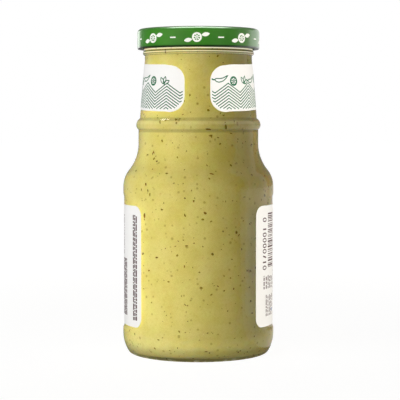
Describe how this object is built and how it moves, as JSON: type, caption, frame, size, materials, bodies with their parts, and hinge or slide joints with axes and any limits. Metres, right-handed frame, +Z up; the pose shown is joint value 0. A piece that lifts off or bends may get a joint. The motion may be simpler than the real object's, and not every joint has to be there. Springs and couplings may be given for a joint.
{
  "type": "salsa jar",
  "caption": "Shut glass jar of creamy green salsa with a waisted shoulder, a ringed neck, paper labels open at the back and a green twist-off metal lid.",
  "frame": {"origin": "centre of the base, on the surface the jar stands on", "axes": "+Z up along the jar's axis towards the lid; +Y towards the middle of both labels; -Y towards the gap between the labels' ends at the back"},
  "size_m": [0.0753, 0.0752, 0.161],
  "materials": {
    "clear_glass": "clear polished container glass",
    "green_salsa": "creamy yellow-green sauce with dark flecks",
    "green_enamel": "glossy green enamel with white print",
    "label_paper": "white coated label paper with a satin sheen and plain printed shapes"
  },
  "bodies": {
    "root": {"glass_jar": "clear_glass", "salsa": "green_salsa", "lid": "green_enamel", "body_label": "label_paper", "neck_label": "label_paper"}
  },
  "joints": []
}
